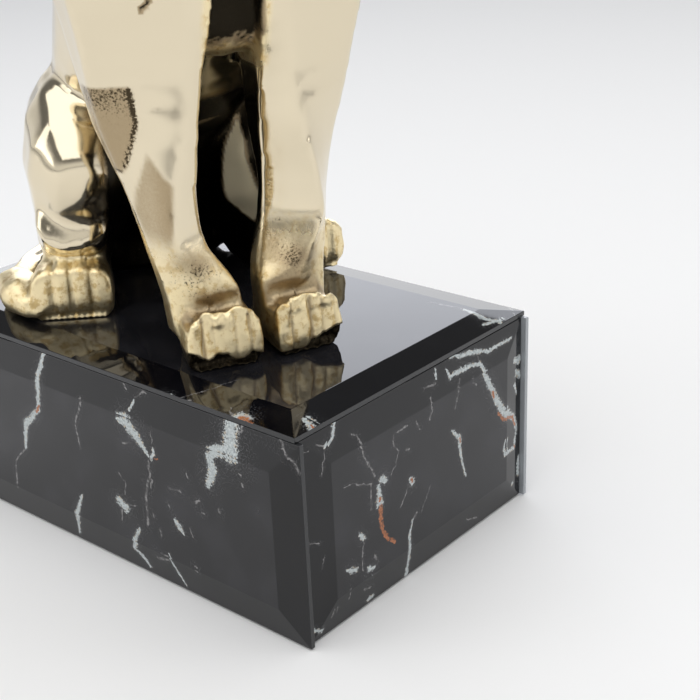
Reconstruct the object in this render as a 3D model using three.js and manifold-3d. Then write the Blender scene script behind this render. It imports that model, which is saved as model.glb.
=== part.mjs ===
// A cast brass lion sitting on a plinth of bevelled black marble-look glass panels.
// Millimetres, +Z up. The origin is the middle of the plinth's underside.
// The plinth's short front side faces -Y, and the lion is turned a little towards -X.

import * as THREE from 'three';
import { mergeVertices } from 'three/addons/utils/BufferGeometryUtils.js';
import Module from 'manifold-3d';

const wasm = await Module();
wasm.setup();

// Plinth sizes
const PLINTH_WIDTH = 176;
const PLINTH_LENGTH = 285;
const PANEL_HEIGHT = 100;
const GLASS = 5;
const BEVEL_WIDTH = 16;
const BEVEL_DROP = 2.6;
const JOINT = 0.3;
const BASE_THICKNESS = 6;
const FOOT_LIFT = 1;

// Lion sizes
const LION_HEIGHT = 330;
const LION_TURN = -25;
const PAWS_LEFT_OF_MIDDLE = 37.4;
const PAWS_BEFORE_MIDDLE = 81.9;

// Heights that follow from the sizes above
const SLAB_BOTTOM = FOOT_LIFT + PANEL_HEIGHT + JOINT;
const SLAB_TOP = SLAB_BOTTOM + GLASS;

// The figure is drawn 330 tall and scaled to its height
const LION_SCALE = LION_HEIGHT / 330;

const X_AXIS = new THREE.Vector3(1, 0, 0);
const Z_AXIS = new THREE.Vector3(0, 0, 1);

const BRASS = { color: 0xd9c79c, roughness: 0.12, metalness: 1 };
const MARBLE_GLASS = { color: 0x08080a, roughness: 0.05, metalness: 0 };
const FELT = { color: 0x141414, roughness: 0.95, metalness: 0 };

// Turns a closed geometry into a solid that can be joined and cut
function toSolid(geometry) {
  const plain = geometry.clone();
  plain.deleteAttribute('normal');
  plain.deleteAttribute('uv');
  const merged = mergeVertices(plain, 1e-4);
  const mesh = new wasm.Mesh({
    numProp: 3,
    vertProperties: new Float32Array(merged.attributes.position.array),
    triVerts: new Uint32Array(merged.index.array),
  });
  return new wasm.Manifold(mesh);
}

// Gives a solid back as a geometry
function toGeometry(solid) {
  const mesh = solid.getMesh();
  const geometry = new THREE.BufferGeometry();
  geometry.setAttribute('position', new THREE.BufferAttribute(new Float32Array(mesh.vertProperties), 3));
  geometry.setIndex(new THREE.BufferAttribute(new Uint32Array(mesh.triVerts), 1));
  geometry.computeVertexNormals();
  return geometry;
}

// Swaps two corners of every triangle when the surface faces inwards
function faceOutwards(geometry) {
  const position = geometry.attributes.position;
  const index = geometry.index;
  const corner = [new THREE.Vector3(), new THREE.Vector3(), new THREE.Vector3()];
  let volume = 0;
  for (let i = 0; i < index.count; i += 3) {
    corner.forEach((point, k) => point.fromBufferAttribute(position, index.getX(i + k)));
    volume += corner[0].dot(corner[1].clone().cross(corner[2]));
  }
  if (volume > 0) return geometry;
  for (let i = 0; i < index.count; i += 3) {
    const first = index.getX(i);
    index.setX(i, index.getX(i + 1));
    index.setX(i + 1, first);
  }
  return geometry;
}

// Passes a smooth curve through rows of numbers, at t from 0 to 1
function smoothRow(rows, t) {
  const place = t * (rows.length - 1);
  const k = Math.min(Math.floor(place), rows.length - 2);
  const u = place - k;
  const pick = (i) => rows[Math.min(Math.max(i, 0), rows.length - 1)];
  const [before, from, to, after] = [pick(k - 1), pick(k), pick(k + 1), pick(k + 2)];
  return from.map((value, i) => {
    const out = (to[i] - before[i]) / 2;
    const into = (after[i] - value) / 2;
    const rise = to[i] - value;
    return value + u * (out + u * (3 * rise - 2 * out - into + u * (out + into - 2 * rise)));
  });
}

// A rounded section: the angle's cosine or sine drawn out towards a box as squareness grows
function squared(value, squareness) {
  return Math.sign(value) * Math.abs(value) ** (2 / squareness);
}

// A limb: rings of a rounded section along a smooth path.
// Each key is [x, y, z, half width, half depth above or behind, half depth below or before].
function limb(keys, { sides = 14, perKey = 1, squareness = 2.3, across = X_AXIS } = {}) {
  const rings = (keys.length - 1) * perKey;
  const geometry = new THREE.SphereGeometry(1, sides, rings);
  const position = geometry.attributes.position;
  for (let ring = 0; ring <= rings; ring++) {
    const t = ring / rings;
    const [x, y, z, width, above, below] = smoothRow(keys, t);
    const ahead = smoothRow(keys, Math.min(t + 0.01, 1));
    const behind = smoothRow(keys, Math.max(t - 0.01, 0));
    const along = new THREE.Vector3(ahead[0] - behind[0], ahead[1] - behind[1], ahead[2] - behind[2]).normalize();
    const side = across.clone().addScaledVector(along, -across.dot(along)).normalize();
    const up = along.clone().cross(side);
    const pole = ring === 0 || ring === rings;
    for (let step = 0; step <= sides; step++) {
      const angle = (step % sides) / sides * 2 * Math.PI;
      const over = squared(Math.cos(angle), squareness) * (pole ? 0 : width);
      const rise = squared(Math.sin(angle), squareness);
      const depth = pole ? 0 : rise * (rise > 0 ? above : below);
      const point = new THREE.Vector3(x, y, z).addScaledVector(side, over).addScaledVector(up, depth);
      position.setXYZ(ring * (sides + 1) + step, point.x, point.y, point.z);
    }
  }
  return toSolid(faceOutwards(geometry));
}

// An egg: a sphere of three half sizes, tilted about X
function egg([x, y, z], [a, b, c], tilt = 0, sides = 14, rings = 9) {
  const geometry = new THREE.SphereGeometry(1, sides, rings);
  geometry.rotateX(Math.PI / 2);
  geometry.scale(a, b, c);
  geometry.rotateX(THREE.MathUtils.degToRad(tilt));
  geometry.translate(x, y, z);
  return toSolid(geometry);
}

// A block, turned about its own middle by angles in degrees
function block([x, y, z], [a, b, c], [turnX, turnY, turnZ] = [0, 0, 0]) {
  const geometry = new THREE.BoxGeometry(a, b, c);
  geometry.rotateX(THREE.MathUtils.degToRad(turnX));
  geometry.rotateY(THREE.MathUtils.degToRad(turnY));
  geometry.rotateZ(THREE.MathUtils.degToRad(turnZ));
  geometry.translate(x, y, z);
  return toSolid(geometry);
}

// Cuts away all that lies past a plane, given by a point on it and the way it faces
function shave(solid, point, facing) {
  const size = 400;
  const normal = new THREE.Vector3(...facing).normalize();
  const geometry = new THREE.BoxGeometry(size, size, size);
  geometry.translate(0, 0, size / 2);
  geometry.applyQuaternion(new THREE.Quaternion().setFromUnitVectors(Z_AXIS, normal));
  geometry.translate(...point);
  return solid.subtract(toSolid(geometry));
}

const join = (solids) => solids.reduce((whole, piece) => whole.add(piece));
const mirrored = (keys, side) => keys.map(([x, ...rest]) => [side * x, ...rest]);

// The lion is drawn facing -Y, with its own left side at +X and the slab at z = 0.

// Torso: from the rump on the slab up the sloping back to the neck
function torso() {
  return limb([
    [0, 176, -30, 0, 0, 0],
    [0, 176, -12, 34, 20, 22],
    [0, 174, 20, 43, 25, 24],
    [0, 165, 58, 50, 33, 31],
    [0, 144, 98, 54, 40, 36],
    [0, 110, 138, 56, 42, 40],
    [0, 76, 174, 60, 44, 48],
    [0, 46, 206, 60, 44, 50],
    [0, 28, 240, 48, 38, 42],
    [0, 18, 272, 34, 30, 32],
    [0, 14, 298, 0, 0, 0],
  ], { sides: 16 });
}

// Chest: the web that joins the forelegs, recessed behind their fronts
function chest() {
  return egg([0, 44, 178], [44, 26, 46], -12, 14, 10);
}

// A planed shaft: sections of a few corners, from the lowest up, joined corner to corner
function planed(sections) {
  const corners = sections[0].length;
  const points = sections.flat();
  const index = [];
  for (let ring = 0; ring < sections.length - 1; ring++) {
    for (let i = 0; i < corners; i++) {
      const [a, b] = [ring * corners + i, ring * corners + (i + 1) % corners];
      index.push(a, b, b + corners, a, b + corners, a + corners);
    }
  }
  for (const [ring, upward] of [[0, false], [sections.length - 1, true]]) {
    const middle = new THREE.Vector3();
    for (const corner of sections[ring]) middle.addScaledVector(corner, 1 / corners);
    points.push(middle);
    for (let i = 0; i < corners; i++) {
      const [a, b] = [ring * corners + i, ring * corners + (i + 1) % corners];
      index.push(...(upward ? [a, b] : [b, a]), points.length - 1);
    }
  }
  const geometry = new THREE.BufferGeometry().setFromPoints(points);
  geometry.setIndex(new THREE.BufferAttribute(new Uint32Array(index), 1));
  return toSolid(faceOutwards(geometry));
}

// Foreleg sections, upwards: [z, left leg's inner edge x, y, right leg's inner edge x, y,
// front ridge x, y, outer edge x, y, back y]. The shaft is planed to a ridge in front, which turns
// into the flat front of the chest above. The right leg's inner plane faces more to the front.
const FORELEG_SECTIONS = [
  [12, 5.5, 18, 7, 16, 21, 12, 37, 20, 43.6],
  [24, 4.5, 16, 5.5, 15, 21, 12.5, 38, 21, 43.8],
  [32, 4.6, 17.5, 6.2, 15.5, 22, 12.5, 38.8, 22, 44],
  [42, 8.1, 27.6, 11.7, 19.5, 26.5, 13, 40.9, 24.8, 45.2],
  [50, 11.4, 32.1, 17.2, 19.1, 31, 13, 42.6, 27.3, 46],
  [60, 13.9, 34.6, 20.2, 20.5, 36, 13.5, 44.5, 30.2, 46.4],
  [70, 14.7, 34.2, 20.9, 20.3, 35.2, 14, 46.6, 32.6, 46],
  [80, 14.8, 33.4, 21, 19.6, 33.7, 14, 49, 34.1, 49],
  [90, 14.3, 31.8, 20.1, 18.9, 31.6, 13.8, 51.9, 35, 55],
  [100, 13.8, 30.2, 19.3, 17.8, 28.9, 13.6, 55, 35.2, 58.5],
  [110, 13.4, 28.3, 18.2, 17.6, 27.2, 13.6, 58, 34.5, 62],
  [130, 12.5, 22.2, 14, 18.8, 24.8, 14.4, 61.8, 31, 67],
  [150, 11.2, 12.3, 11.2, 12.3, 23.7, 11.7, 65, 27, 72],
  [170, 9.6, 8, 9.6, 8, 24.5, 6.5, 69, 24, 78],
  [190, 7, 6, 7, 6, 27, 4, 73, 25, 84],
  [210, 3, 9, 3, 9, 28, 8, 71, 29, 88],
  [228, 6, 18, 6, 18, 28, 16, 60, 36, 86],
  [244, 16, 36, 16, 36, 29, 34, 44, 44, 70],
];

// Foreleg, side is +1 for the lion's left
function foreleg(side) {
  const rings = 2 * (FORELEG_SECTIONS.length - 1);
  const sections = Array.from({ length: rings + 1 }, (_, ring) => {
    const row = smoothRow(FORELEG_SECTIONS, ring / rings);
    const [z, leftX, leftY, rightX, rightY, ridgeX, ridgeY, outerX, outerY, back] = row;
    const [innerX, innerY] = side > 0 ? [leftX, leftY] : [rightX, rightY];
    const outline = [
      [ridgeX, ridgeY],
      [outerX, outerY],
      [outerX + 0.5, (outerY + back) / 2],
      [outerX - 5, back - 2],
      [innerX + 6, back],
      [innerX + 0.5, (innerY + back) / 2 + 3],
      [innerX, innerY],
    ];
    return outline.map(([x, y]) => new THREE.Vector3(side * x, y, z));
  });
  return planed(sections);
}

// Paw: a low loaf from heel to toes with a near-upright front, a ridge, and a hollow behind it
function paw(side, middle, front, { width, height, length, turn }) {
  const keys = [
    [0, length, 8, 0, 0, 0],
    [0, length * 0.9, 9, width * 0.62, height * 0.33, 12],
    [0, length * 0.6, 10, width * 0.86, height * 0.55, 13],
    [0, length * 0.28, 11, width * 0.98, height * 0.6, 14],
    [0, 3.4, 11, width, height * 0.6, 14],
    [0, 0.4, 11, width * 0.965, height * 0.53, 13],
    [0, 0, 11, 0, 0, 0],
  ];
  let solid = limb(keys, { sides: 14, squareness: 3.4 });
  // Hollow across the top, behind the toe ridge
  solid = solid.subtract(egg([0, 12.5, height + 5.4], [width * 0.9, 7.5, 8.6], 0, 10, 6));
  // Toes: shallow upright grooves, and a tuck under the lower front edge
  for (const toe of [-0.5, 0, 0.5]) {
    solid = solid.subtract(block([toe * width, -1, 12], [3.4, 3.4, height * 1.6], [0, 0, 45]));
  }
  solid = solid.subtract(block([0, -3.2, 0], [width * 2.4, 8, 12], [-38, 0, 0]));
  return solid.rotate([0, 0, side * turn]).translate([side * middle, front, 0]);
}

// Hind leg: thigh, folded shank and a long foot flat on the slab
function hindLeg(side) {
  const thigh = limb(mirrored([
    [26, 199, 82, 0, 0, 0],
    [28, 193, 82, 14, 18, 24],
    [31, 180, 81, 21, 31, 46],
    [36, 164, 80, 25, 38, 58],
    [42, 146, 78, 27, 42, 62],
    [48, 126, 75, 28, 41, 58],
    [54, 106, 70, 24, 32, 44],
    [57, 93, 65, 14, 18, 20],
    [58, 88, 63, 0, 0, 0],
  ], side), { sides: 12 });
  const shank = limb(mirrored([
    [60, 100, 56, 0, 0, 0],
    [60, 106, 50, 18, 17, 18],
    [53, 132, 34, 20, 22, 22],
    [46, 156, 17, 16, 17, 18],
    [42, 170, 11, 11, 9, 14],
    [41, 177, 9, 0, 0, 0],
  ], side), { sides: 12 });
  return thigh.add(shank).add(paw(side, 67, 96, { width: 20.8, height: 28, length: 74, turn: 18 }));
}

// Tail: it leaves the rump, lies on the slab and runs forward beside the right haunch
function tail() {
  const rope = limb([
    [2, 186, 26, 0, 0, 0],
    [0, 193, 22, 9, 9, 9],
    [-12, 206, 12, 7.6, 7.6, 7.6],
    [-34, 205, 7, 7, 7, 7],
    [-55, 193, 6.6, 7, 7, 7],
    [-71, 173, 6.6, 7, 7, 7],
    [-82, 150, 7, 7, 7, 7],
    [-84, 140, 7, 0, 0, 0],
  ], { sides: 8, across: Z_AXIS });
  const tuft = limb([
    [-81, 158, 7, 0, 0, 0],
    [-82, 152, 7, 7.5, 7.5, 7.5],
    [-86, 137, 9, 10.5, 11, 11],
    [-88, 121, 9, 9.5, 10, 10],
    [-86, 107, 7, 6, 5, 5],
    [-82, 97, 5, 0, 0, 0],
  ], { sides: 8, across: Z_AXIS });
  return rope.add(tuft);
}

// Mane mass: keys of the upright body of hair from the breast to the crown
const MANE_KEYS = [
  [0, 16, 164, 0, 0, 0],
  [0, 14, 170, 24, 12, 22],
  [0, 14, 184, 44, 44, 34],
  [0, 14, 212, 57, 54, 42],
  [0, 14, 244, 63, 52, 40],
  [0, 14, 274, 62, 46, 32],
  [0, 14, 300, 51, 38, 26],
  [0, 12, 318, 31, 25, 18],
  [0, 10, 326, 0, 0, 0],
];

// The mane's surface at a height and an angle round it, 0 at the back and 180 at the front
function maneSurface(height, angle) {
  let low = 0;
  let high = 1;
  for (let i = 0; i < 20; i++) {
    const middle = (low + high) / 2;
    if (smoothRow(MANE_KEYS, middle)[2] < height) low = middle;
    else high = middle;
  }
  const [, y, , width, back, front] = smoothRow(MANE_KEYS, low);
  const turn = THREE.MathUtils.degToRad(angle);
  const depth = Math.cos(turn);
  return new THREE.Vector3(Math.sin(turn) * width, y + depth * (depth > 0 ? back : front), height);
}

// One lock of hair: a leaf from root to tip, arched outwards in its middle
function lock(root, tip, outwards, width, thickness) {
  const middle = root.clone().lerp(tip, 0.45).addScaledVector(outwards, thickness * 0.7);
  const near = root.clone().lerp(tip, 0.8).addScaledVector(outwards, thickness * 0.35);
  const across = tip.clone().sub(root).cross(outwards).normalize();
  const keys = [
    [...root.toArray(), 0, 0, 0],
    [...root.clone().lerp(middle, 0.35).toArray(), width * 0.75, thickness * 0.8, thickness],
    [...middle.toArray(), width, thickness, thickness],
    [...near.toArray(), width * 0.55, thickness * 0.6, thickness * 0.7],
    [...tip.toArray(), 0, 0, 0],
  ];
  return limb(keys, { sides: 4, squareness: 2, across });
}

// Rows of locks hang round the mane, each row staggered on the one above
function hangingLocks() {
  const rows = [
    { height: 306, fall: 40, count: 11 },
    { height: 280, fall: 42, count: 13 },
    { height: 252, fall: 42, count: 13 },
    { height: 225, fall: 42, count: 12 },
    { height: 202, fall: 38, count: 11 },
  ];
  const locks = [];
  rows.forEach(({ height, fall, count }, row) => {
    for (let i = 0; i < count; i++) {
      const angle = ((i + (row % 2) / 2) / count) * 360;
      const fromFront = Math.abs(180 - angle);
      if (height > 250 && fromFront < 62) continue;
      const root = maneSurface(height, angle);
      const tip = maneSurface(height - fall, angle + 4);
      const outwards = new THREE.Vector3(root.x, root.y - 14, 6).normalize();
      root.addScaledVector(outwards, -5);
      tip.addScaledVector(outwards, 4.5);
      locks.push(lock(root, tip, outwards, 11, 6));
    }
  });
  return locks;
}

// A ruff of locks radiates from the face, pointing outwards and back
function ruffLocks() {
  const locks = [];
  const count = 16;
  for (let i = 0; i < count; i++) {
    const around = THREE.MathUtils.degToRad(-128 + (256 * i) / (count - 1));
    const [sideways, upward] = [Math.sin(around), Math.cos(around)];
    const below = Math.max(-upward, 0);
    const root = new THREE.Vector3(29 * sideways, -24 - 4 * below, 276 + 29 * upward);
    const tip = new THREE.Vector3(60 * sideways, 2 - 24 * below, 272 + (52 + 8 * below) * upward);
    const outwards = new THREE.Vector3(sideways * 0.5, -0.85, upward * 0.5).normalize();
    locks.push(lock(root, tip, outwards, 9.5, 6.5));
  }
  return locks;
}

// Head: skull, tapered muzzle, nose bridge and pad, chin, cheeks, brows, eyes and ears
function head() {
  const pieces = [
    egg([0, -10, 282], [34, 34, 33], 0, 14, 9),
    limb([
      [0, -14, 266, 0, 0, 0],
      [0, -20, 266, 25, 18, 17],
      [0, -38, 265, 21.5, 14, 16],
      [0, -52, 263.5, 18.5, 11.5, 15],
      [0, -59, 262, 13, 8, 11],
      [0, -61, 261, 0, 0, 0],
    ], { sides: 14, squareness: 2.6 }),
    limb([
      [0, -18, 300, 0, 0, 0],
      [0, -26, 299, 13, 7, 9],
      [0, -40, 290, 11, 6, 9],
      [0, -54, 279, 9.5, 5, 8],
      [0, -62, 274, 8, 3.5, 5],
      [0, -64, 272, 0, 0, 0],
    ], { sides: 10, squareness: 3 }),
    egg([0, -62, 270.5], [8.4, 4.6, 5.4], 20, 10, 7),
    egg([0, -45, 251], [15, 14, 10], 0, 12, 8),
  ];
  for (const side of [-1, 1]) {
    pieces.push(egg([side * 22, -24, 266], [14, 17, 17], 0, 10, 7));
    pieces.push(egg([side * 16, -37, 291.5], [12, 8, 5], -18, 10, 6));
    pieces.push(egg([side * 15.5, -38.5, 284], [6.2, 5, 4.6], 0, 10, 7));
    const ear = egg([side * 33, 0, 309], [11.5, 8, 13.5], 8, 10, 7);
    pieces.push(ear.subtract(egg([side * 33.5, -8, 310], [8, 8, 9.5], 8, 8, 6)));
  }
  // The mouth is a thin wedge cut round the muzzle, under the upper lip
  const mouth = block([0, -52, 256.5], [44, 22, 1.8], [4, 0, 0]);
  return join(pieces).subtract(mouth);
}

function lionSolid() {
  const pieces = [torso(), chest(), limb(MANE_KEYS, { sides: 16 }), head(), tail()];
  pieces.push(paw(-1, 20.1, 0, { width: 18.2, height: 27.6, length: 50, turn: 4 }));
  pieces.push(paw(1, 21.5, 0, { width: 16.8, height: 27.6, length: 50, turn: 4 }));
  for (const side of [-1, 1]) pieces.push(foreleg(side), hindLeg(side));
  pieces.push(...hangingLocks(), ...ruffLocks());
  return shave(join(pieces), [0, 0, 0], [0, 0, -1]).scale([LION_SCALE, LION_SCALE, LION_SCALE]);
}

// A bevelled panel lying in XY with its polished face up: the rim drops by BEVEL_DROP
function bevelledPanel(width, length) {
  const geometry = new THREE.BoxGeometry(width, length, GLASS, 3, 3, 1);
  const position = geometry.attributes.position;
  const [halfWidth, halfLength, halfGlass] = [width / 2, length / 2, GLASS / 2];
  const inset = (value, half) => Math.sign(value) * (Math.abs(value) > half * 0.9 ? half : half - BEVEL_WIDTH);
  for (let i = 0; i < position.count; i++) {
    const x = inset(position.getX(i), halfWidth);
    const y = inset(position.getY(i), halfLength);
    const rim = Math.abs(x) > halfWidth - 1e-3 || Math.abs(y) > halfLength - 1e-3;
    const top = position.getZ(i) > 0;
    position.setXYZ(i, x, y, top && rim ? halfGlass - BEVEL_DROP : position.getZ(i));
  }
  return geometry;
}

function named(name, geometry, finish) {
  const mesh = new THREE.Mesh(geometry, new THREE.MeshStandardMaterial(finish));
  mesh.name = name;
  return mesh;
}

// Panels: the long sides run the whole length, and the short ones stand between them.
// The slab on top is as wide as the panels' thin upper rims.
function plinth() {
  const group = new THREE.Group();
  const middle = FOOT_LIFT + PANEL_HEIGHT / 2;
  const shortWidth = PLINTH_WIDTH - 2 * (GLASS + JOINT);
  const upright = { long: [PANEL_HEIGHT, PLINTH_LENGTH], short: [shortWidth, PANEL_HEIGHT] };
  for (const [name, side] of [['plinth_panel_left', -1], ['plinth_panel_right', 1]]) {
    const panel = named(name, bevelledPanel(...upright.long), MARBLE_GLASS);
    panel.rotation.y = side * Math.PI / 2;
    panel.position.set(side * (PLINTH_WIDTH - GLASS) / 2, 0, middle);
    group.add(panel);
  }
  for (const [name, side] of [['plinth_panel_front', -1], ['plinth_panel_back', 1]]) {
    const panel = named(name, bevelledPanel(...upright.short), MARBLE_GLASS);
    panel.rotation.x = -side * Math.PI / 2;
    panel.position.set(0, side * (PLINTH_LENGTH - GLASS) / 2, middle);
    group.add(panel);
  }
  const rim = 2 * BEVEL_DROP;
  const slab = named('plinth_top', bevelledPanel(PLINTH_WIDTH - rim, PLINTH_LENGTH - rim), MARBLE_GLASS);
  slab.position.z = SLAB_BOTTOM + GLASS / 2;
  const inner = 2 * (GLASS + JOINT);
  const board = new THREE.BoxGeometry(PLINTH_WIDTH - inner, PLINTH_LENGTH - inner, BASE_THICKNESS);
  const base = named('plinth_base', board, FELT);
  base.position.z = BASE_THICKNESS / 2;
  group.add(slab, base);
  return group;
}

const lion = named('lion', toGeometry(lionSolid()), BRASS);
lion.position.set(-PAWS_LEFT_OF_MIDDLE, -PAWS_BEFORE_MIDDLE, SLAB_TOP + JOINT);
lion.rotation.z = THREE.MathUtils.degToRad(LION_TURN);

const figurine = new THREE.Group();
figurine.add(plinth(), lion);
export default figurine;
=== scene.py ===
# %% [markdown]
# This scene dresses a brass lion on a marble-glass plinth.
# The frame holds the solids at their real size, in metres, and the looks are built around them.

# %% The frame and its size
import math

import bmesh
import bpy
import numpy as np
from mathutils import Matrix, Vector, noise


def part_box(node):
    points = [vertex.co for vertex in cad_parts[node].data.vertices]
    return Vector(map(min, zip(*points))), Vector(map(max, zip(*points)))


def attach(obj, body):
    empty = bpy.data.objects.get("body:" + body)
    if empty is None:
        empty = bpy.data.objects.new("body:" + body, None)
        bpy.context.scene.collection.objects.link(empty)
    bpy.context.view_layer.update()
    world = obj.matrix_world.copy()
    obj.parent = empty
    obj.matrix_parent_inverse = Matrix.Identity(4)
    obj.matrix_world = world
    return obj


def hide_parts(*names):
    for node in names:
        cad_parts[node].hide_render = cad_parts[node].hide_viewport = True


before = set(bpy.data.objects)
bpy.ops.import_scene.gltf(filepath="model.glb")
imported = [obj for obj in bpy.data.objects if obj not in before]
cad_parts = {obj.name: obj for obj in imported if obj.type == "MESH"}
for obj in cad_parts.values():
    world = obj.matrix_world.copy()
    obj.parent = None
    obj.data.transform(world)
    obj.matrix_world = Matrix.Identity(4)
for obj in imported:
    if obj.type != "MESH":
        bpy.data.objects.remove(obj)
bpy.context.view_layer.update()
MM = 0.001

# %% [markdown]
# The camera stands where the photographer stood: in front of the plinth's left front corner, looking down.
# A heading, a tilt and a small roll give its direction, and the lens gives the width of the picture.
# Building its three axes by hand is plainer than stacking rotations, and the roll is easy to read.

# %% Camera
CAMERA_PLACE = Vector((-427.7, -468.5, 345.3)) * MM
HEADING = math.radians(40.90)
TILT_DOWN = math.radians(23.23)
ROLL = math.radians(-2.45)
LENS = 67.09
SENSOR = 36.0


def place_camera():
    ahead = Vector((
        math.cos(TILT_DOWN) * math.cos(HEADING),
        math.cos(TILT_DOWN) * math.sin(HEADING),
        -math.sin(TILT_DOWN),
    ))
    level = Vector((math.sin(HEADING), -math.cos(HEADING), 0.0))
    above = level.cross(ahead)
    right = math.cos(ROLL) * level + math.sin(ROLL) * above
    up = right.cross(ahead)
    lens = bpy.data.cameras.new("camera")
    lens.lens = LENS
    lens.sensor_width = SENSOR
    lens.clip_start = 0.01
    camera = bpy.data.objects.new("camera", lens)
    turn = Matrix((right, up, -ahead)).transposed().to_4x4()
    camera.matrix_world = Matrix.Translation(CAMERA_PLACE) @ turn
    bpy.context.scene.collection.objects.link(camera)
    bpy.context.scene.camera = camera
    return camera


place_camera()
print("camera at", tuple(round(v, 3) for v in CAMERA_PLACE))

# %% [markdown]
# Materials are small node trees. A few helpers keep them short: one makes a material with its shader,
# one adds a node with its values, and the others are the sums, ranges, mixes and noises that every
# material here is made of. Patterns read Object coordinates, so they stay with the piece from every side.

# %% Helpers for materials


def new_material(name, **values):
    material = bpy.data.materials.new(name)
    material.use_nodes = True
    shader = material.node_tree.nodes["Principled BSDF"]
    for socket, value in values.items():
        shader.inputs[socket.replace("_", " ")].default_value = value
    return material, material.node_tree, shader


def add_node(tree, kind, values=None, **settings):
    node = tree.nodes.new(kind)
    for name, value in settings.items():
        setattr(node, name, value)
    for socket, value in (values or {}).items():
        node.inputs[socket].default_value = value
    return node


def maths(tree, operation, first, second=None, third=None, clamp=False):
    node = add_node(tree, "ShaderNodeMath", operation=operation, use_clamp=clamp)
    for socket, value in enumerate((first, second, third)):
        if value is None:
            continue
        if isinstance(value, (int, float)):
            node.inputs[socket].default_value = value
        else:
            tree.links.new(value, node.inputs[socket])
    return node.outputs[0]


def ranged(tree, value, low, high, to_low=0.0, to_high=1.0):
    node = add_node(tree, "ShaderNodeMapRange", {1: low, 2: high, 3: to_low, 4: to_high})
    node.interpolation_type = "SMOOTHSTEP"
    tree.links.new(value, node.inputs[0])
    return node.outputs[0]


def mixed(tree, factor, first, second):
    node = add_node(tree, "ShaderNodeMix", data_type="RGBA")
    for socket, value in ((0, factor), (6, first), (7, second)):
        if isinstance(value, (tuple, float, int)):
            node.inputs[socket].default_value = value
        else:
            tree.links.new(value, node.inputs[socket])
    return node.outputs[2]


def object_place(tree):
    return add_node(tree, "ShaderNodeTexCoord").outputs["Object"]


def noise_at(tree, place, scale, detail=4.0, roughness=0.55):
    node = add_node(tree, "ShaderNodeTexNoise", {"Scale": scale, "Detail": detail, "Roughness": roughness})
    tree.links.new(place, node.inputs["Vector"])
    return node.outputs["Fac"]


print("material helpers are ready")

# %% [markdown]
# The lion is one polished brass casting. Its solid is faceted, so the fine piece starts as a copy of it:
# a voxel remesh turns the joined facets into an even skin, and smoothing rounds them off.
# A brush would be the usual way to add the fur and toes. Here the same is done by named
# functions that push each point along its normal, so every mark has a size that can be read.

# %% A fine even skin
VOXEL = 2.05 * MM


def fine_skin(node):
    """A merged copy of the solid, remeshed to small even faces."""
    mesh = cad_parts[node].data.copy()
    piece = bpy.data.objects.new("lion_casting", mesh)
    bpy.context.scene.collection.objects.link(piece)
    bm = bmesh.new()
    bm.from_mesh(mesh)
    bmesh.ops.remove_doubles(bm, verts=bm.verts, dist=0.01 * MM)
    bm.to_mesh(mesh)
    bm.free()
    remesh = piece.modifiers.new("skin", "REMESH")
    remesh.mode = "VOXEL"
    remesh.voxel_size = VOXEL
    depsgraph = bpy.context.evaluated_depsgraph_get()
    even = bpy.data.meshes.new_from_object(piece.evaluated_get(depsgraph))
    piece.modifiers.clear()
    piece.data = even
    bpy.data.meshes.remove(mesh)
    return piece


lion = fine_skin("lion")
print("even skin has", len(lion.data.polygons), "faces")

# %% [markdown]
# The relief is easiest to place in the lion's own frame: X to its left, Y to its rear, Z up from the slab,
# in millimetres, with the front of the forepaws at zero. These helpers go between that frame and the mesh.

# %% The lion's own frame
LION_TURN = math.radians(-25)
PAWS_PLACE = np.array((-37.4, -81.9, 106.6))


def read_points(piece):
    flat = np.empty(len(piece.data.vertices) * 3, np.float32)
    piece.data.vertices.foreach_get("co", flat)
    return flat.reshape(-1, 3).astype(float)


def read_normals(piece):
    flat = np.empty(len(piece.data.vertices) * 3, np.float32)
    piece.data.vertex_normals.foreach_get("vector", flat)
    return flat.reshape(-1, 3).astype(float)


def write_points(piece, points):
    piece.data.vertices.foreach_set("co", points.astype(np.float32).ravel())
    piece.data.update()


def turned(vectors, angle):
    x, y, z = vectors.T
    c, s = math.cos(angle), math.sin(angle)
    return np.stack([c * x - s * y, s * x + c * y, z], 1)


def lion_place(piece):
    return turned(read_points(piece) / MM - PAWS_PLACE, -LION_TURN)


def lion_normals(piece):
    return turned(read_normals(piece), -LION_TURN)


def ramp(value, low, high):
    """0 at low, 1 at high, smooth between; low may be above high."""
    t = np.clip((value - low) / (high - low), 0, 1)
    return t * t * (3 - 2 * t)


def bump_at(distance, width):
    return np.exp(-((distance / width) ** 2))


def grain(place, size, seed=0.0):
    """Soft random value from -1 to 1 at each point, with lumps of about this size in millimetres."""
    shift = np.array((seed, -seed, 0.0))
    return np.array([noise.noise(Vector(point)) for point in place / size + shift])


print("the forepaws stand at", PAWS_PLACE, "mm")


# %% [markdown]
# A polished casting has broad even surfaces, and the polisher never reaches the hair, toes and face.
# So the skin is smoothed by a strength that is high on the body and almost nothing on those.
# Each round that shrinks is followed by one that swells, which keeps the size. The body gets many
# rounds, everything above the ankles some, and the whole casting only a few.

# %% Smoothing by region


def smooth_skin(piece, strength, rounds, swell=1.03):
    edges = np.empty(len(piece.data.edges) * 2, np.int32)
    piece.data.edges.foreach_get("vertices", edges)
    a, b = edges.reshape(-1, 2).T
    points = read_points(piece)
    count = len(points)
    share = np.bincount(a, minlength=count) + np.bincount(b, minlength=count)
    for turn in range(rounds):
        step = strength if turn % 2 == 0 else -swell * strength
        for axis in range(3):
            column = points[:, axis]
            total = np.bincount(a, column[b], count) + np.bincount(b, column[a], count)
            points[:, axis] = column + step * (total / share - column)
    write_points(piece, points)


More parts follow.
